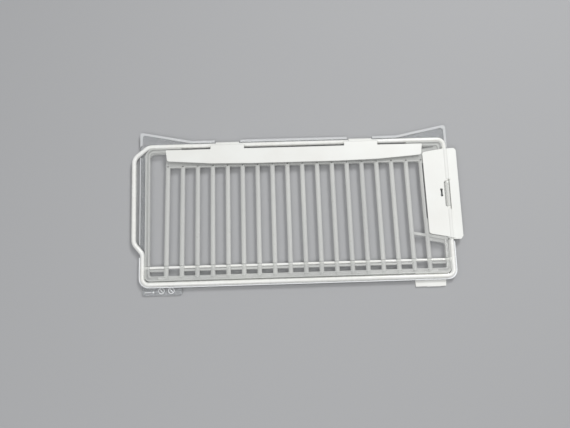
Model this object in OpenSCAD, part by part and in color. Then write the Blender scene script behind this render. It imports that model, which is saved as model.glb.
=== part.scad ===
// Slatted shelf for a compact refrigerator.
// Coated wire frame, clear surround below it, milky slatted deck above it,
// hinged guard bar round the front wire and hinged latch flap round the right wire.
// +X is right, +Y is the front (the side of the guard bar), +Z is up.
// The origin is the middle of the footprint, on the surface that the shelf lies on.

/* [Frame wire] */
// Radius of the coated frame wire
wire_r = 2.8; // [2.4:0.1:2.9]
// Height of the frame wire's centre line
wire_z = 4.8; // [4.8:0.1:5.2]
// Centre line of the front wire
front_y = 80.8; // [80.8:0.1:81.2]
// Centre line of the rear wire
rear_y = -87.7; // [-88:0.1:-87.6]
// Half the frame's width half way along its depth
half_width = 182.4; // [182:0.1:183]
// How much the half width grows per millimetre towards the front
side_taper = 0.0182; // [0.01:0.0001:0.02]
// Bend radius of the corners, on the centre line
corner_r = 7.5; // [6.5:0.5:8]
// Bend radius of the bump, on the centre line
bump_r = 12; // [9:1:13]

/* [Cross wire] */
// Radius of the coated cross wire
cross_r = 1.6; // [1.2:0.1:1.6]
// Centre line of the cross wire
cross_y = -68.5; // [-69:0.1:-68]

/* [Deck] */
// Number of slats
slats = 18; // [17:1:18]
// Distance from slat to slat
slat_pitch = 18; // [18:0.1:18.1]
// Width of a slat
slat_w = 5.2; // [4.6:0.1:5.6]
// Height of the deck's top face
deck_top = 9.2; // [9.2:0.1:9.3]
// Radius of the cells' corners
cell_r = 2.2; // [1:0.1:2.4]

/* [Surround] */
// Width of the surround outside the wire's centre line
flange = 4.2; // [4.1:0.1:4.4]
// Wall of the surround
wall = 1.2; // [1:0.1:1.2]
// Height of the surround's rim
rim_top = 4.9; // [4.6:0.1:4.9]
// Front edge of the ledge between the two ears
ledge_y = 87.9; // [87.6:0.1:88.2]
// How far from the middle the ears start
ear_start = 125.8; // [120:1:130]
// Width of the raised rim round the ears
rim_w = 3; // [2:0.1:3.2]
// How far the ears reach in front of the ledge
ear_rise = 12.7; // [10:0.1:12.7]

/* [Guard bar] */
// Thickness of the guard bar
bar_t = 2; // [1.6:0.1:2.2]
// Half the bar's length
bar_half = 155.8; // [154:0.1:156]
// Width of the tongues that hook round the front wire
tongue_w = 28.3; // [24:0.1:28.6]
// Distance of each tongue's middle from the shelf's middle
tongue_x = 81.2; // [80:0.1:82]
// Width of the shoulders over the wire
shoulder_w = 40.7; // [36:0.1:41]

/* [Latch flap] */
// Thickness of the flap
flap_t = 1.6; // [1.4:0.1:1.7]
// How far the lip reaches past the frame's widest part
lip_x = 197.3; // [195:0.1:198]

/* [Hidden] */
$fn = 48;
run_gap = 0.08;                 // running clearance round the wire
clear = 0.4;                    // clearance beside moving parts
hook_r = wire_r + 1.4;          // outside radius of the hooks on the wire
groove_r = hook_r + clear;      // room that a turning hook needs
top = 20;                       // above everything
deck_low = 4;                   // seam between surround and deck
slat_low = 6.5;                 // underside of the slats
slat_crown = 3.4;               // radius of a slat's rounded top
border_top = deck_top - 1.2;    // top of the border between its beads
bead_w = 1.5;                   // beads along the border
inner_bead = 3.9;               // from the deck's edge to the inner bead
first_slat = -slat_pitch * (slats - 1) / 2;
cells_rear = -80.1;             // rear end of the cells
cells_front = 52.6;             // front end of the cells between slats
side_cell_front = 70.8;         // front end of the two outer cells
side_cell_rear = -48;           // latch pocket's rear rib
rib_y = -72.2;                  // rib beside the cross wire
latch_rear = -46.4;             // room for the latch flap along the right wire
latch_front = 70;
saddle_rear = -4.6;             // saddle on the right wire
saddle_front = 24.6;
bar_low = deck_top + 0.3;       // underside of the guard bar
bar_top = bar_low + bar_t;
bar_edge = 74.1;                // front edge of the guard bar
flap_low = deck_top - 1.3;      // underside of the flap's lever
flap_top = flap_low + flap_t;
lip_low = 5.9;                  // the flap's lip
lip_top = 8.3;
hook_mouth = 100;               // angle left open under the hooks
tray_low = 0.4;                 // floor of the surround
tray_top = 1.7;
tray_in = 6.4;                  // from the wire's centre line to the inner wall's inside
tray_wall = 1.4;                // thickness of the inner wall
ledge_top = 3.8;                // top of the ears and the front ledge
tab_top = 1.6;                  // top of the rear tab
mark_x = [-159.3, -147.8];      // round mould marks on the rear tab
mark_r = 3.6;
ear_mark_x = 170;               // mould mark on the right ear
slot_x = 174.6;                 // middle of the small slot in the flap
slot_y = 11.8;
slot_half = 3.5;                // from there to the middle of each round end
clip_x0 = 135.4;                // rear clip's ends
clip_x1 = 172.8;

// ---------- geometry helpers ----------

// Half the distance between the side wires at a depth y
function half_at(y) = half_width + side_taper * y;

function unit(v) = v / norm(v);
function angle_of(v) = atan2(v[1], v[0]);
// Turn from angle a to angle b the short way
function turn(a, b) = let (d = (b - a) % 360) d > 180 ? d - 360 : d < -180 ? d + 360 : d;

// Corner of an outline rounded to radius r: centre, start angle and turn
function corner_centre(a, p, b, r) =
    let (u = unit(a - p), w = unit(b - p))
    p + unit(u + w) * r / sin(acos(u * w) / 2);
function corner_cut(a, p, b, r) = r / tan(acos(unit(a - p) * unit(b - p)) / 2);
function corner_arc(a, p, b, r, steps) =
    let (c = corner_centre(a, p, b, r), cut = corner_cut(a, p, b, r))
    let (from = angle_of(p + unit(a - p) * cut - c), to = angle_of(p + unit(b - p) * cut - c))
    [for (i = [0:steps])
        let (angle = from + turn(from, to) * i / steps)
        c + r * [cos(angle), sin(angle)]];

// Outline [[x, y, radius], ...] with its corners rounded
function xy(p) = [p[0], p[1]];
function rounded(outline, steps = 6) =
    let (n = len(outline))
    [for (i = [0:n - 1])
        let (a = xy(outline[(i + n - 1) % n]), p = xy(outline[i]), b = xy(outline[(i + 1) % n]))
        let (r = outline[i][2])
        each (r > 0 ? corner_arc(a, p, b, r, steps) : [p])];

module plate(outline, low, high, steps = 6) {
    translate([0, 0, low])
        linear_extrude(high - low)
            polygon(rounded(outline, steps));
}

module block(low, high) {
    translate(low)
        cube(high - low);
}

// Round bar between two points
module rod(a, b, r) {
    translate(a)
        rotate([0, 90, angle_of(xy(b - a))])
            cylinder(r = r, h = norm(b - a));
}

// Closed loop of round wire at height z, through [[x, y, bend radius], ...]
// Each straight runs a hair into its bends, which are drawn a hair thinner, so that all of it fuses
module wire_loop(path, r, z) {
    lap = 0.05;
    thinner = 0.02;
    n = len(path);
    for (i = [0:n - 1]) {
        a = xy(path[(i + n - 1) % n]);
        p = xy(path[i]);
        b = xy(path[(i + 1) % n]);
        c = xy(path[(i + 2) % n]);
        bend = path[i][2];
        centre = corner_centre(a, p, b, bend);
        start = p + unit(a - p) * corner_cut(a, p, b, bend);
        leave = p + unit(b - p) * corner_cut(a, p, b, bend);
        arrive = b + unit(p - b) * corner_cut(p, b, c, path[(i + 1) % n][2]);
        sweep = turn(angle_of(start - centre), angle_of(leave - centre));
        along = unit(arrive - leave) * lap;
        rod([each leave - along, z], [each arrive + along, z], r);
        translate([centre[0], centre[1], z])
            rotate([0, 0, sweep > 0 ? angle_of(start - centre) : angle_of(leave - centre)])
                rotate_extrude(angle = abs(sweep))
                    translate([bend, 0])
                        circle(r = r - thinner);
    }
}

// Four-sided outline that follows the frame at a distance s outside its centre line
// r is the corners' radius, and r_bump the one beside the bump, at the front left
function frame_outline(s, r, r_bump) = [
    [-half_at(rear_y) - s, rear_y - s, r],
    [half_at(rear_y) + s, rear_y - s, r],
    [half_at(front_y) + s, front_y + s, r],
    [-half_at(front_y) - s, front_y + s, is_undef(r_bump) ? r : r_bump]
];

// Puts its children in the right wire's own frame: y along the wire, x outwards from its centre line
module on_right_wire() {
    translate([half_width, 0, wire_z])
        rotate([0, 0, -atan(side_taper)])
            children();
}

// Cross-section of an open hook round a wire, with a mouth of that angle underneath
module hook_profile(mouth) {
    reach = 3 * hook_r;
    side = sin(mouth / 2);
    down = cos(mouth / 2);
    difference() {
        circle(r = hook_r);
        circle(r = wire_r + run_gap);
        polygon([[0, 0], [-reach * side, -reach * down], [reach * side, -reach * down]]);
    }
}

// ---------- frame wire ----------

function wire_path() = [
    [-half_at(rear_y), rear_y, corner_r],
    [half_at(rear_y), rear_y, corner_r],
    [half_at(front_y), front_y, corner_r],
    [-177.5, front_y, bump_r],
    [-194.8, 66.2, bump_r],
    [-192.3, -38.8, bump_r],
    [-half_at(-51.8), -51.8, bump_r - 2]
];

module frame_wire() {
    color("white")
        wire_loop(wire_path(), wire_r, wire_z);
}

// ---------- cross wire ----------

module cross_wire() {
    reach = half_at(cross_y);
    color("white")
        difference() {
            rod([-reach, cross_y, wire_z], [reach, cross_y, wire_z], cross_r);
            for (side = [-1, 1])
                rod([side * half_at(cross_y - 10), cross_y - 10, wire_z],
                    [side * half_at(cross_y + 10), cross_y + 10, wire_z], wire_r);
        }
}

// ---------- surround ----------

function ear_outline(s) =
    let (side = half_at(front_y) + flange + s, slope = ear_rise / (half_at(front_y) + flange - ear_start))
    [
        [-half_at(rear_y) - flange - s, rear_y - flange - s, corner_r + flange],
        [half_at(rear_y) + flange + s, rear_y - flange - s, corner_r + flange],
        [side + 0.3, ledge_y + s + slope * (side - ear_start), 3],
        [ear_start, ledge_y + s, 0],
        [-ear_start, ledge_y + s, 0],
        [-side - 0.3, ledge_y + s + slope * (side - ear_start), 3]
    ];

module tongue_places() {
    for (side = [-1, 1])
        translate([side * tongue_x, 0, 0])
            children();
}

module surround_body() {
    // Floor of the cradle, the ears and the front ledge
    difference() {
        plate(ear_outline(0), tray_low, tray_top);
        plate(frame_outline(-tray_in, corner_r - 4), 0, top);
    }
    // Front ledge and ears, beside the wire
    difference() {
        plate(ear_outline(0), tray_top, ledge_top);
        plate(frame_outline(wire_r + clear, corner_r + wire_r + clear), 0, top);
    }
    // Outer wall, and the broader rim on top of it round the ears and the ledge
    difference() {
        plate(ear_outline(0), 0, rim_top);
        plate(ear_outline(-wall), -1, top);
    }
    difference() {
        plate(ear_outline(0), ledge_top, rim_top);
        plate(ear_outline(-rim_w), 0, top);
        plate(frame_outline(wire_r + clear, corner_r + wire_r + clear), 0, top);
    }
    // Inner wall that carries the deck
    difference() {
        plate(frame_outline(tray_wall - tray_in, corner_r - 3), tray_low, deck_low);
        plate(frame_outline(-tray_in, corner_r - 4), 0, top);
    }
    rear_tab();
    // Mould mark on the right ear
    translate([ear_mark_x, ledge_y - 0.7, ledge_top - 0.1])
        cylinder(r = 1.2, h = 0.5);
}

// Rear tab with two plain round mould marks, each with a pointer, and a dot with a line beside it
module rear_tab() {
    plate([[-181.6, -100.2, 3], [-134.8, -100.2, 3], [-134.8, -88.5, 0], [-181.6, -88.5, 0]], 0, tab_top);
    for (x = mark_x)
        translate([x, -95, tab_top - 0.4]) {
            difference() {
                cylinder(r = mark_r, h = 0.7);
                cylinder(r = mark_r - 0.7, h = 2);
            }
            rotate([0, 0, 130])
                block([-2.2, -0.4, 0], [2.2, 0.4, 0.6]);
        }
    translate([-168.6, -96.4, tab_top - 0.4])
        cylinder(r = 1, h = 0.8);
    block([-178.6, -96.7, tab_top - 0.4], [-170.8, -96.1, tab_top + 0.25]);
}

module surround() {
    color("lightblue", 0.5)
        difference() {
            surround_body();
            // Notches for the guard bar's tongues
            tongue_places()
                block([-tongue_w / 2 - 1.4, front_y - groove_r, -1], [tongue_w / 2 + 1.4, ledge_y + 5, top]);
            // Slots under the front wire
            for (span = [[-61, 61], [-137, -102], [102, 137]])
                block([span[0], front_y - groove_r - 0.2, -1], [span[1], front_y + 2.4, 2.4]);
            // Room for the latch flap
            on_right_wire()
                block([-groove_r, latch_rear, -wire_z - 1], [30, latch_front, top]);
            // Notches for the cross wire
            block([-half_width, cross_y - cross_r - 0.2, wire_z - cross_r - 0.2],
                  [half_width, cross_y + cross_r + 0.2, top]);
            // Gates where the bump leaves the cradle
            wire_gates();
            // Room for the rear clip
            block([clip_x0 - clear, rear_y - 20, -1], [clip_x1 + clear, rear_y + groove_r, 2.2]);
        }
}

// The surround's wall is open where the bump of the frame wire passes
module wire_gates() {
    block([-200, 68, tray_top], [-178, 82.4, top]);
    block([-200, -56, tray_top], [-half_at(-50) - 2, -41, top]);
}

// ---------- slat deck ----------

// Cell between slats i and i + 1
module cell(i) {
    x0 = first_slat + slat_pitch * i + slat_w / 2;
    x1 = first_slat + slat_pitch * (i + 1) - slat_w / 2;
    plate([[x0, cells_rear, cell_r], [x1, cells_rear, cell_r],
           [x1, cells_front, 1], [x0, cells_front, 1]], 0, top, 4);
}

// The two outer cells follow the taper of the frame
module left_cell() {
    x1 = first_slat - slat_w / 2;
    plate([[-half_at(cells_rear) + 8.6, cells_rear, 3], [x1, cells_rear, cell_r],
           [x1, side_cell_front, 1], [-half_at(side_cell_front) + 8.6, side_cell_front, 6]], 0, top, 4);
}

module right_cell() {
    x0 = -first_slat + slat_w / 2;
    plate([[x0, cells_rear, cell_r], [half_at(cells_rear) - 9, cells_rear, 3],
           [half_at(side_cell_rear) - 9, side_cell_rear - 1.6, 2], [x0, side_cell_rear + 2, 1]], 0, top, 4);
}

// Sloping edges of the latch pocket, shared by deck and flap: y at distance x from the middle
function pocket_rear(x) = -37.9 - 0.2 * (x - 156);
function pocket_front(x) = 63.4 + 0.16 * (x - 156);

module pocket_outline(grow, low, high) {
    x0 = 155.6 - grow;
    x1 = half_width + 2;
    plate([[x0, pocket_rear(x0) - grow, 3], [x1, pocket_rear(x1) - grow, 0],
           [x1, pocket_front(x1) + grow, 0], [x0, pocket_front(x0) + grow, 3]], low, high);
}

module slat(i) {
    x = first_slat + slat_pitch * i;
    intersection() {
        translate([x, cells_rear - 2, deck_top - slat_crown])
            rotate([-90, 0, 0])
                cylinder(r = slat_crown, h = cells_front - cells_rear + 4);
        block([x - slat_w / 2, cells_rear - 1, slat_low], [x + slat_w / 2, cells_front + 1, top]);
    }
}

// Outline of the deck, a distance s in from its edge
function deck_outline(s) =
    frame_outline(-wire_r - 0.5 - s, max(corner_r - 2 - s, 2.5), max(corner_r + 3 - s, 3));

module deck_plate() {
    difference() {
        plate(deck_outline(0), deck_low, border_top);
        for (i = [0:slats - 2])
            cell(i);
        left_cell();
        right_cell();
        // Slats are thinner than the border
        for (i = [0:slats - 1])
            block([first_slat + slat_pitch * i - slat_w, cells_rear + 1, 0],
                  [first_slat + slat_pitch * i + slat_w, cells_front - 1, slat_low]);
    }
}

// Beads that stand up along both edges of the border
module border_beads() {
    difference() {
        plate(deck_outline(0), deck_low, deck_top);
        plate(deck_outline(bead_w), 0, top);
    }
    difference() {
        plate(deck_outline(inner_bead), deck_low, deck_top);
        plate(deck_outline(inner_bead + bead_w), 0, top);
        block([-half_at(0) + 10, cells_rear - 4, 0], [half_at(0) - 10, cells_rear, top]);
    }
}

// Round nub on the border behind each slat
module rear_nubs() {
    for (i = [0:slats - 1])
        translate([first_slat + slat_pitch * i, cells_rear - 2.5, border_top - 1])
            cylinder(r = 1.4, h = 2);
}

// Rib beside the cross wire, left out next to the two outermost cells
module cross_rib() {
    border = 21.4;              // from the last slat's middle into the border
    for (span = [[first_slat - border, first_slat], [first_slat + slat_pitch, -first_slat - slat_pitch],
                 [-first_slat, -first_slat + border]])
        block([span[0], rib_y - 1.2, 3.4], [span[1], rib_y + 1.2, deck_top - 1.4]);
}

// Rear rib of the latch pocket, carried on across the last cell between slats
module pocket_rib() {
    x0 = -first_slat - slat_pitch;
    x1 = half_width - 5.5;
    plate([[x0, pocket_rear(x0) - 1, 0], [x0, pocket_rear(x0) - 4.2, 0],
           [x1, pocket_rear(x1) - 4.2, 0], [x1, pocket_rear(x1) - 1, 0]], deck_low, deck_top - 0.3);
}

// Saddle that holds the right wire down on the deck
module saddle() {
    on_right_wire()
        difference() {
            union() {
                rotate([-90, 0, 0])
                    translate([0, 0, saddle_rear])
                        cylinder(r = wire_r + 1.1, h = saddle_front - saddle_rear);
                block([-9, saddle_rear, -0.4], [0, saddle_front, wire_r - 0.3]);
            }
            rotate([-90, 0, 0])
                translate([0, 0, saddle_rear - 1])
                    cylinder(r = wire_r, h = saddle_front - saddle_rear + 2);
            block([-groove_r, saddle_rear - 1, -top], [top, saddle_front + 1, -0.8]);
            block([1.6, saddle_rear - 1, -top], [top, saddle_front + 1, top]);
        }
}

module deck_grille() {
    difference() {
        union() {
            deck_plate();
            border_beads();
            for (i = [0:slats - 1])
                slat(i);
            cross_rib();
            pocket_rib();
            rear_nubs();
        }
        deck_cuts();
    }
}

module slat_deck() {
    color("gainsboro")
        difference() {
            union() {
                deck_grille();
                saddle();
            }
            // Well under the slot of the latch flap
            block([half_at(0) - 10.6, slot_y - 7, 0], [half_at(0) - 5.6, slot_y + 7, top]);
        }
}

module deck_cuts() {
    // Recess for the latch lever, and the finger gap beside it
    pocket_outline(0.6, deck_top - 1.6, top);
    block([-first_slat + slat_w / 2 - 1.6, -19.3, 0], [half_at(0) - 14, 49.7, deck_top + 1]);
    // Wedge-shaped slot in front of the pocket
    plate([[154.6, 68.4, 0], [170.4, 70.2, 0], [170.4, 71.2, 0], [154.6, 71.4, 0]], 0, top);
    // Room for the hooks of the latch flap, except at the saddle
    on_right_wire()
        for (span = [[latch_rear, saddle_rear - clear], [saddle_front + clear, latch_front]])
            block([-groove_r, span[0], -top], [top, span[1], top]);
    // Front edge stands back beside the guard bar
    block([-137, bar_edge + 0.7, 0], [137, front_y, top]);
    // Passage for the cross wire
    block([-half_width, cross_y - cross_r - 0.2, 0],
          [half_width, cross_y + cross_r + 0.2, wire_z + cross_r + 0.15]);
    // Shallow pockets in the rear border, one behind each cell
    for (i = [0:slats - 2])
        block([first_slat + slat_pitch * i + 2, cells_rear - 3.2, deck_top - 1.9],
              [first_slat + slat_pitch * (i + 1) - 2, cells_rear - 1.4, top]);
    // Small hole at the front end of each slat
    for (i = [0:slats - 1])
        translate([first_slat + slat_pitch * i, cells_front + 1.3, 0])
            cylinder(r = 1.1, h = top);
    // Room for the rear clip's hook
    block([clip_x0 - clear, rear_y + wire_r - 0.1, 0], [clip_x1 + clear, rear_y + wire_r + 1.8, 6.8]);
}

// ---------- guard bar ----------

module guard_bar() {
    color("white") {
        guard_panel();
        tongue_places() {
            shoulder();
            tongue();
        }
    }
}

// Flat bar, narrower towards its ends
module guard_panel() {
    plate([[-bar_half + 2.2, 59.9, 2.5], [-100, 55.9, 0], [-50, 54.9, 0], [50, 54.9, 0], [100, 55.9, 0],
           [bar_half - 2.2, 59.9, 2.5], [bar_half, bar_edge, 1], [-bar_half, bar_edge, 1]],
          bar_low, bar_top);
}

// Part of the bar that reaches over the wire
module shoulder() {
    wire_top = wire_z + wire_r;
    translate([-shoulder_w / 2, 0, 0])
        rotate([90, 0, 90])
            linear_extrude(shoulder_w)
                polygon([[bar_edge - 3, bar_low], [bar_edge + 0.9, bar_low],
                         [bar_edge + 0.9, wire_top + 0.8], [front_y - 0.4, wire_top + 0.8],
                         [front_y - 0.4, wire_top + 2.6],
                         [front_y - 2, bar_top - 0.3], [bar_edge, bar_top], [bar_edge - 3, bar_top]]);
}

// Hook round the wire
module tongue() {
    translate([-tongue_w / 2, front_y, wire_z])
        rotate([90, 0, 90])
            linear_extrude(tongue_w)
                hook_profile(hook_mouth);
}

// ---------- latch flap ----------

module latch_flap() {
    color("white")
        difference() {
            union() {
                lever();
                lip();
                latch_hooks();
            }
            latch_cuts();
        }
}

// Inner half, lying in the pocket of the deck
module lever() {
    pocket_outline(0, flap_low, flap_top);
}

// Outer half, the lip that locks the shelf
module lip() {
    x0 = half_width + 1;
    plate([[x0, -45, 0], [lip_x - 4.6, -45.2, 1.6], [lip_x - 1.9, -41.6, 1.6],
           [lip_x - 0.1, 68.6, 4], [x0, 67.6, 0]], lip_low, lip_top);
}

// Ridge over the wire with a hook below it at each end of the flap
module latch_hooks() {
    on_right_wire()
        for (span = [[-43.4, saddle_rear - 4], [saddle_front + 4, 67.4]])
            translate([0, span[1], 0])
                rotate([90, 0, 0])
                    linear_extrude(span[1] - span[0]) {
                        hook_profile(hook_mouth);
                        ridge_profile();
                    }
}

// Crown of the ridge and the web that joins it to lever and lip
module ridge_profile() {
    difference() {
        union() {
            translate([0, 1.9])
                circle(r = 3.5);
            translate([-4.3, 2.2])
                square([8.6, 2.1]);
        }
        circle(r = wire_r + run_gap);
        translate([-10, -20])
            square([20, 20]);
    }
}

module latch_cuts() {
    // The wire runs through
    on_right_wire()
        rotate([-90, 0, 0])
            translate([0, 0, -60])
                cylinder(r = wire_r + run_gap, h = 140);
    // Window over the saddle, wider towards the lip
    on_right_wire()
        plate([[-4.6, saddle_rear - 0.4, 1.5], [2.9, saddle_rear - 4.6, 0.6],
               [2.9, saddle_front + 4.6, 0.6], [-4.6, saddle_front + 0.4, 1.5]], -20, 20);
    // Slot with two round ends
    block([slot_x - 1.1, slot_y - slot_half, 0], [slot_x + 1.1, slot_y + slot_half, top]);
    for (side = [-1, 1])
        translate([slot_x, slot_y + side * slot_half, 0])
            cylinder(r = 1.6, h = top);
}

// ---------- rear clip ----------

module rear_clip() {
    color("white")
        union() {
            plate([[clip_x0, rear_y + wire_r + 1.4, 0], [clip_x0 + 0.3, -99, 0.6], [clip_x1 - 1.8, -99, 0.6],
                   [clip_x1, rear_y + wire_r + 1.4, 0]], 0, 1.8);
            block([clip_x0, rear_y + wire_r + 0.1, 0], [clip_x1, rear_y + wire_r + 1.4, 6.5]);
            // Fine teeth along the tab's edge
            for (i = [0:11])
                translate([149 + 1.4 * i, -99, 0])
                    cylinder(r = 0.5, h = 1.8, $fn = 16);
        }
}

frame_wire();
cross_wire();
surround();
slat_deck();
guard_bar();
latch_flap();
rear_clip();
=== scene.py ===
import math

import bmesh
import bpy
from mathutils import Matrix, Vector


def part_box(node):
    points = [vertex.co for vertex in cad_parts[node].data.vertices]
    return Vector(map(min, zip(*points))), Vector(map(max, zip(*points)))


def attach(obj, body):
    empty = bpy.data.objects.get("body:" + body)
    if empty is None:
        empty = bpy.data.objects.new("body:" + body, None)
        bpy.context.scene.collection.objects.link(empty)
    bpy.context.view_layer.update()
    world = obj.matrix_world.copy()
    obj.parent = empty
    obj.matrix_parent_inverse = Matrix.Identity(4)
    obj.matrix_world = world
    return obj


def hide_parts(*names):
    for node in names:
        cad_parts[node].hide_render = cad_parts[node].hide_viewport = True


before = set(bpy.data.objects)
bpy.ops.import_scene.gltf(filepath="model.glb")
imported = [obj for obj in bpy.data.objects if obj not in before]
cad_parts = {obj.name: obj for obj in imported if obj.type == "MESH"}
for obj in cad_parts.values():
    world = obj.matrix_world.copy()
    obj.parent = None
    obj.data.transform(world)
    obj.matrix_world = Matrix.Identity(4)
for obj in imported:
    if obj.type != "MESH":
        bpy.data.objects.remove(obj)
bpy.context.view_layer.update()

MM = 0.001
BODY = {
    "frame_wire": "shelf", "cross_wire": "shelf", "surround": "shelf", "slat_deck": "shelf",
    "rear_clip": "shelf", "guard_bar": "guard", "latch_flap": "latch",
}

# Places on the object, in millimetres, in the CAD's frame
SLATS = 18
SLAT_PITCH = 18
FIRST_SLAT = -153                          # middle of the leftmost slat
CELLS_SIDE = 156.2                         # the border starts outside this, on both sides,
CELLS_FRONT, CELLS_REAR = 53.4, -80.6      # in front of this and behind this
FLATS_TOP = 8.6                            # the border's flats lie below this, its beads above
BRIDGE_REAR, BRIDGE_FRONT = -70.3, -66.7   # where the slats pass over the cross wire
BRIDGE_LOW = 6                             # the thin plastic there is above this
HOLES_Y = 53.9                             # small holes at the slats' front ends
RIM_LOW = 4.3                              # the tray's rim and its outer wall's top are above this
REAR_WALL_FRONT = -41                      # the outer wall's top, whitened as a painted highlight, lies behind this
TAB_FRONT = -90                            # the rear tab lies behind this
TAB_TOP = 1.62                             # its marks stand above this
TAB_LINE_X, TAB_DOT = -174, (-168.6, -96.4)
ROUND_MARKS_X, ROUND_MARKS_Y = (-159.3, -147.8), -95
EARS_X = (-120, 120)                       # where the two front ears begin
EAR_MARK = (170, 87.2)
TONGUES_X = (-82, 82)                      # the guard bar's two tongues
FLAP_SLOT = (174.6, 11.8)                  # the flap's slot, and the notch for the saddle at its level

# Planes across x and across y that cut a moulding's flat faces, so that no joined face goes round a
# hole. The bare numbers cut between features.
slat_lines = [FIRST_SLAT + SLAT_PITCH * i for i in range(SLATS)]
cell_lines = [x - SLAT_PITCH / 2 for x in slat_lines] + [slat_lines[-1] + SLAT_PITCH / 2]
SURROUND_CUTS = ((TAB_LINE_X, TAB_DOT[0], *ROUND_MARKS_X, EARS_X[0], TONGUES_X[0], 0, TONGUES_X[1],
                  EARS_X[1], EAR_MARK[0], 183),
                 (TAB_DOT[1], ROUND_MARKS_Y, 0, 60, EAR_MARK[1]))
DECK_CUTS = (slat_lines + cell_lines + [174],
             (-82.6, BRIDGE_REAR, BRIDGE_FRONT, -30, FLAP_SLOT[1], HOLES_Y, 71))
GUARD_CUTS = ((TONGUES_X[0], 0, TONGUES_X[1]), ())
FLAP_CUTS = ((FLAP_SLOT[0], 181), (FLAP_SLOT[1],))


# ---------- node helpers ----------

class Nodes:
    """Short calls for building one material."""

    def __init__(self, name):
        self.material = bpy.data.materials.new(name)
        self.material.use_nodes = True
        self.tree = self.material.node_tree
        self.surface = self.tree.nodes["Principled BSDF"]
        self.place = self.add("ShaderNodeTexCoord").outputs["Object"]

    def add(self, kind, **values):
        node = self.tree.nodes.new(kind)
        for key, value in values.items():
            setattr(node, key, value)
        return node

    def link(self, a, b):
        self.tree.links.new(a, b)

    def set(self, **values):
        for key, value in values.items():
            self.surface.inputs[key.replace("_", " ")].default_value = value

    def noise(self, size, detail=3.0, rough=0.55, stretch=(1, 1, 1)):
        """Noise with features about size metres across, 0 to 1."""
        mapping = self.add("ShaderNodeMapping")
        mapping.inputs["Scale"].default_value = [s / size for s in stretch]
        self.link(self.place, mapping.inputs["Vector"])
        noise = self.add("ShaderNodeTexNoise")
        noise.inputs["Scale"].default_value = 1.0
        noise.inputs["Detail"].default_value = detail
        noise.inputs["Roughness"].default_value = rough
        self.link(mapping.outputs["Vector"], noise.inputs["Vector"])
        return noise.outputs["Fac"]

    def remap(self, value, low, high, to_low, to_high):
        ramp = self.add("ShaderNodeMapRange")
        for key, number in zip(("From Min", "From Max", "To Min", "To Max"), (low, high, to_low, to_high)):
            ramp.inputs[key].default_value = number
        self.link(value, ramp.inputs["Value"])
        return ramp.outputs["Result"]

    def blend(self, share, first, second):
        """Colour first where share is 0 and second where it is 1. Colours are RGB or sockets."""
        mix = self.add("ShaderNodeMix", data_type="RGBA")
        sockets = {socket.identifier: socket for socket in mix.inputs}
        self.link(share, sockets["Factor_Float"])
        for socket, value in ((sockets["A_Color"], first), (sockets["B_Color"], second)):
            if isinstance(value, bpy.types.NodeSocket):
                self.link(value, socket)
            else:
                socket.default_value = (*value, 1)
        return {socket.identifier: socket for socket in mix.outputs}["Result_Color"]

    def specks(self, size, share):
        """1 in sparse specks about size metres across, 0 elsewhere. More of them with more share."""
        soft_edge = 0.02
        return self.remap(self.noise(size, detail=1.0), 1 - share, 1 + soft_edge - share, 0, 1)

    def bump(self, *layers):
        """Stacks (height, depth in metres, strength) layers into one normal."""
        normal = None
        for height, depth, strength in layers:
            node = self.add("ShaderNodeBump")
            node.inputs["Strength"].default_value = strength
            node.inputs["Distance"].default_value = depth
            self.link(height, node.inputs["Height"])
            if normal:
                self.link(normal, node.inputs["Normal"])
            normal = node.outputs["Normal"]
        self.link(normal, self.surface.inputs["Normal"])


def coated_wire():
    """Thick glossy white dip coat on steel wire, a little uneven and a little yellowed."""
    n = Nodes("coated_wire")
    aged = n.remap(n.noise(0.03), 0.35, 0.7, 0, 1)
    n.link(n.blend(aged, (0.89, 0.895, 0.87), (0.85, 0.85, 0.805)), n.surface.inputs["Base Color"])
    n.link(n.remap(n.noise(0.005), 0.3, 0.7, 0.2, 0.36), n.surface.inputs["Roughness"])
    n.set(IOR=1.5, Coat_Weight=0.35, Coat_Roughness=0.1)
    n.bump((n.noise(0.006), 0.0004, 0.22), (n.noise(0.0011), 0.0001, 0.18))
    return n.material


def white_plastic():
    """Satin moulded plastic with a fine grain, faint flow marks and a few light scuffs."""
    n = Nodes("white_plastic")
    aged = n.remap(n.noise(0.05), 0.35, 0.7, 0, 1)
    scuffs = n.remap(n.noise(0.0012, stretch=(0.05, 1, 1)), 0.62, 0.7, 0, 1)
    n.link(n.blend(aged, (0.84, 0.85, 0.82), (0.805, 0.805, 0.77)), n.surface.inputs["Base Color"])
    n.link(n.remap(scuffs, 0, 1, 0.4, 0.52), n.surface.inputs["Roughness"])
    n.set(IOR=1.49)
    n.bump((n.noise(0.0005), 0.00006, 0.35), (n.noise(0.02, stretch=(0.3, 1, 1)), 0.0003, 0.12),
           (scuffs, 0.00003, 0.3))
    return n.material


def milky_plastic(name, solidity, painted_lift=0.0):
    """Cloudy see-through plastic, drawn lengthwise, with a few specks of dirt. solidity is how much each
    surface hides, and lift is added to its colour as painted light, making lighter copies of the one
    plastic."""
    n = Nodes(name)
    pale, dull = ([c + painted_lift for c in colour] for colour in ((0.77, 0.78, 0.75), (0.68, 0.69, 0.67)))
    cloudy = n.blend(n.remap(n.noise(0.05, stretch=(1, 0.3, 1)), 0.35, 0.7, 0, 1), pale, dull)
    n.link(n.blend(n.specks(0.0016, 0.245), cloudy, (0.42, 0.40, 0.37)), n.surface.inputs["Base Color"])
    n.link(n.remap(n.noise(0.0007, stretch=(1, 0.06, 1)), 0.3, 0.7, 0.22, 0.36),
           n.surface.inputs["Roughness"])
    n.set(IOR=1.49, Alpha=solidity)
    n.bump((n.noise(0.001), 0.00008, 0.2), (n.noise(0.014, stretch=(1, 0.25, 1)), 0.0004, 0.15))
    return n.material


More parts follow.
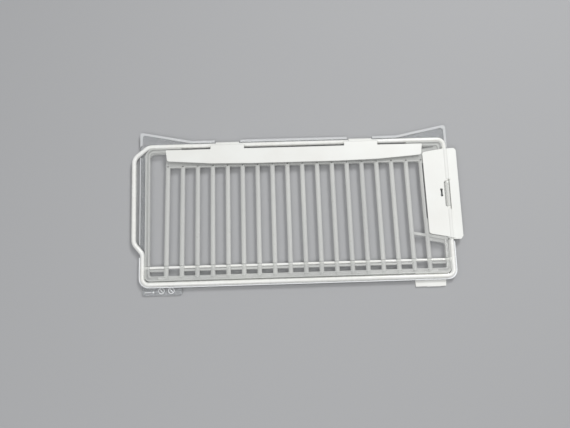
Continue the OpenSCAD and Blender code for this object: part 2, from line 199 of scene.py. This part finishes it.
def clear_plastic(name, clearness, low_gloss, high_gloss, depth):
    """Clear plastic that bends light, a little hazy, with hairline scratches in its polish. low_gloss and
    high_gloss are the ends of its roughness, and depth is how deep its fine grain is, in metres."""
    n = Nodes(name)
    n.set(Base_Color=(0.93, 0.945, 0.955, 1), IOR=1.5, Transmission_Weight=clearness)
    n.link(n.remap(n.noise(0.0009, stretch=(0.08, 1, 1)), 0.45, 0.75, low_gloss, high_gloss),
           n.surface.inputs["Roughness"])
    n.bump((n.noise(0.03, detail=1.0), 0.0003, 0.1), (n.noise(0.0004), depth, 0.4))
    return n.material


# The materials of each of the record's slots. A piece's faces name them by their place in the list.
MATERIALS = {
    "coated_wire": [coated_wire()],
    "white_plastic": [white_plastic()],
    # The three lighter copies are painted light: the border's and the bridges' are lightened a little
    # against their shade, and the rear border's much more, as a painted reflection.
    "milky_plastic": [milky_plastic("milky_plastic", 0.6),
                      milky_plastic("milky_border", 0.38, painted_lift=0.06),
                      milky_plastic("milky_over_wire", 0.2, painted_lift=0.06),
                      milky_plastic("milky_rear_painted_reflection", 0.55, painted_lift=0.17)],
    "clear_plastic": [clear_plastic("clear_plastic", 0.8, 0.02, 0.09, 0.00001),
                      # Frosted marks on the rear tab; the same white finish on the outer wall's top is a
                      # painted highlight.
                      clear_plastic("frosted_and_painted_highlight", 0.05, 0.4, 0.55, 0.0001),
                      # A hazier, whiter copy of the clear plastic for the rim: a painted highlight.
                      clear_plastic("rim_painted_highlight", 0.42, 0.08, 0.16, 0.00002)],
}
SLATS_MILKY, BORDER_MILKY, BRIDGE_MILKY, REAR_MILKY_PAINTED_REFLECTION = range(4)
CLEAR, FROSTED_AND_PAINTED_HIGHLIGHT, RIM = range(3)


# ---------- pieces ----------

def add_object(name, mesh):
    obj = bpy.data.objects.new(name, mesh)
    bpy.context.scene.collection.objects.link(obj)
    return obj


def finish_piece(obj, node, slot):
    """Gives a piece its materials and lets it stand for its CAD node."""
    obj.data.materials.clear()
    for material in MATERIALS[slot]:
        obj.data.materials.append(material)
    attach(obj, BODY[node])
    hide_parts(node)


def split_flats(bm, axis, places):
    """Cuts all faces on planes across axis, at places in millimetres, and marks the cuts as seams."""
    same_place = 1e-6
    normal = [0, 0, 0]
    normal[axis] = 1
    for place in places:
        point = [place * MM * c for c in normal]
        geometry = bm.verts[:] + bm.edges[:] + bm.faces[:]
        cut = bmesh.ops.bisect_plane(bm, geom=geometry, dist=same_place, plane_co=point,
                                     plane_no=normal)
        for part in cut["geom_cut"]:
            if isinstance(part, bmesh.types.BMEdge):
                part.seam = True


def moulded(node, slot, edge, cuts=((), ()), pick=None):
    """Copy of a CAD node's shape, its flat faces joined and its sharp edges rounded to edge. cuts are the
    planes across x and across y that keep its flat faces apart. pick says which of the slot's materials
    a face gets, from its middle in millimetres and its normal."""
    same_place = 2e-6
    flat_angle = math.radians(0.5)
    sharp_angle = math.radians(28)
    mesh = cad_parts[node].data.copy()
    mesh.name = node + "_moulded"
    bm = bmesh.new()
    bm.from_mesh(mesh)
    bmesh.ops.remove_doubles(bm, verts=bm.verts, dist=same_place)
    for axis, places in enumerate(cuts):
        split_flats(bm, axis, places)
    bmesh.ops.dissolve_limit(bm, angle_limit=flat_angle, verts=bm.verts, edges=bm.edges, delimit={"SEAM"})
    for face in bm.faces:
        face.smooth = True
    bm.to_mesh(mesh)
    bm.free()
    if "custom_normal" in mesh.attributes:
        mesh.attributes.remove(mesh.attributes["custom_normal"])
    obj = add_object(node + "_moulded", mesh)
    bevel = obj.modifiers.new("rounded_edges", "BEVEL")
    bevel.width = edge
    bevel.segments = 3
    bevel.limit_method = "ANGLE"
    bevel.angle_limit = sharp_angle
    bevel.harden_normals = True
    bevel.use_clamp_overlap = True
    finish_piece(obj, node, slot)
    for face in mesh.polygons:
        face.material_index = pick(face.center / MM, face.normal) if pick else 0


def deck_material(p, normal):
    """The low flats of the border and the bridges over the cross wire are thinner, so more see-through,
    than the slats and the beads. Their copies of the plastic are also painted lighter, and the rear
    border's copy much lighter, as a painted reflection."""
    if BRIDGE_REAR < p.y < BRIDGE_FRONT and p.z > BRIDGE_LOW:
        return BRIDGE_MILKY
    in_border = abs(p.x) > CELLS_SIDE or p.y > CELLS_FRONT or p.y < CELLS_REAR
    if in_border and p.z < FLATS_TOP:
        # The rear border's copy carries a painted reflection; the rest of the border's copy is painted a
        # little lighter.
        return REAR_MILKY_PAINTED_REFLECTION if p.y < CELLS_REAR else BORDER_MILKY
    return SLATS_MILKY


def surround_material(p, normal):
    """The raised rim of the clear tray gets a hazier, whiter copy of the clear plastic: a painted
    highlight, standing in for the light its edges gather. The marks on the rear tab are matt and nearly
    opaque, like frost, and the narrow top of the outer wall round the rear of the wire gets the same
    finish as a painted highlight."""
    # The outer wall's whitened top is a painted highlight; the tab's marks are truly frosted.
    on_wall_top = p.z > RIM_LOW and p.y < REAR_WALL_FRONT
    on_mark = p.y < TAB_FRONT and p.z > TAB_TOP and normal.z > 0.6
    if on_wall_top or on_mark:
        return FROSTED_AND_PAINTED_HIGHLIGHT
    # The rim's hazier copy is a painted highlight.
    return RIM if p.z > RIM_LOW else CLEAR


def welded_wire():
    """The cross wire, flared at both ends where its coating runs into the frame wire's."""
    low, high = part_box("cross_wire")
    radius = (high.z - low.z) / 2
    middle = (low + high) / 2
    reach = (high.x - low.x) / 2
    into_frame = 0.3 * MM
    flare = 1.0 * MM                # how much thicker the wire is at its ends
    flare_length = 1.7 * MM
    flare_start = 0.5 * MM          # up to here from the end it is at its thickest
    ring_step = 0.35 * MM
    fine_rings = 16
    sides = 32
    fine = [k * ring_step for k in range(fine_rings)]
    distances = fine + [reach / 3, reach * 2 / 3]
    places = sorted({d - reach for d in distances} | {0.0} | {reach - d for d in distances})
    turns = [2 * math.pi * k / sides for k in range(sides)]
    bm = bmesh.new()
    rings = []
    for x in places:
        from_end = max(reach - abs(x) - flare_start, 0)
        r = radius + flare * math.exp(-(from_end / flare_length) ** 2 * 2)
        x_out = math.copysign(abs(x) + (into_frame if abs(x) == reach else 0), x)
        rings.append([bm.verts.new((middle.x + x_out, middle.y + r * math.cos(turn),
                                    middle.z + r * math.sin(turn))) for turn in turns])
    for a, b in zip(rings, rings[1:]):
        for k in range(sides):
            bm.faces.new((a[k], a[(k + 1) % sides], b[(k + 1) % sides], b[k])).smooth = True
    bm.faces.new(rings[0][::-1])
    bm.faces.new(rings[-1])
    bmesh.ops.recalc_face_normals(bm, faces=bm.faces)
    mesh = bpy.data.meshes.new("cross_wire_coated")
    bm.to_mesh(mesh)
    bm.free()
    finish_piece(add_object("cross_wire_coated", mesh), "cross_wire", "coated_wire")


moulded("frame_wire", "coated_wire", 0.1 * MM)
welded_wire()
moulded("surround", "clear_plastic", 0.3 * MM, SURROUND_CUTS, surround_material)
moulded("slat_deck", "milky_plastic", 0.25 * MM, DECK_CUTS, deck_material)
moulded("guard_bar", "white_plastic", 0.35 * MM, GUARD_CUTS)
moulded("latch_flap", "white_plastic", 0.3 * MM, FLAP_CUTS)
moulded("rear_clip", "white_plastic", 0.25 * MM)


# ---------- stage ----------

def floor():
    """A plain pale floor, a tenth of a millimetre low, so that no face lies in its plane."""
    mesh = bpy.data.meshes.new("floor")
    reach, low = 20, -0.1 * MM
    corners = [(-reach, -reach, low), (reach, -reach, low), (reach, reach, low), (-reach, reach, low)]
    mesh.from_pydata(corners, [], [(0, 1, 2, 3)])
    n = Nodes("floor")
    n.set(Base_Color=(0.41, 0.414, 0.422, 1), Roughness=0.9)
    mesh.materials.append(n.material)
    add_object("floor", mesh)


def soft_light(name, place, aim, size, power, colour=(1, 1, 1)):
    """A square lamp, size metres across and power watts strong."""
    data = bpy.data.lights.new(name, "AREA")
    data.shape = "SQUARE"
    data.size = size
    data.energy = power
    data.color = colour
    obj = add_object(name, data)
    obj.location = place
    obj.rotation_euler = (Vector(aim) - Vector(place)).to_track_quat("-Z", "Y").to_euler()


def light():
    """A dim room, brighter overhead than at the horizon, with three soft lamps."""
    at_horizon, overhead = 0.2, 0.46
    world = bpy.data.worlds.new("studio")
    world.use_nodes = True
    tree = world.node_tree
    background = tree.nodes["Background"]
    coords = tree.nodes.new("ShaderNodeTexCoord")
    split = tree.nodes.new("ShaderNodeSeparateXYZ")
    ramp = tree.nodes.new("ShaderNodeMapRange")
    for key, number in (("From Min", 0), ("From Max", 0.9), ("To Min", at_horizon), ("To Max", overhead)):
        ramp.inputs[key].default_value = number
    tree.links.new(coords.outputs["Generated"], split.inputs["Vector"])
    tree.links.new(split.outputs["Z"], ramp.inputs["Value"])
    tree.links.new(ramp.outputs["Result"], background.inputs["Strength"])
    background.inputs["Color"].default_value = (0.97, 0.98, 1.0, 1)
    bpy.context.scene.world = world
    soft_light("key", place=(0.62, 1.1, 1.35), aim=(0, 0, 0), size=0.5, power=14.6)
    soft_light("fill", place=(-0.35, -0.75, 1.3), aim=(0, 0, 0), size=0.8, power=7)
    soft_light("sheen", place=(0.5, 0.09, 1.2), aim=(0.1, 0, 0), size=0.26, power=1.9,
               colour=(1, 0.98, 0.95))


def camera():
    """Looks down from above and a little from behind."""
    data = bpy.data.cameras.new("camera")
    data.lens = 37.9
    data.sensor_width = 36
    data.clip_start = 0.01
    obj = add_object("camera", data)
    obj.location = (-0.0243, -0.1867, 0.6967)
    obj.rotation_euler = [math.radians(angle) for angle in (14.49, -0.41, -1.83)]
    bpy.context.scene.camera = obj


floor()
light()
camera()

bpy.context.scene.view_settings.view_transform = "Standard"
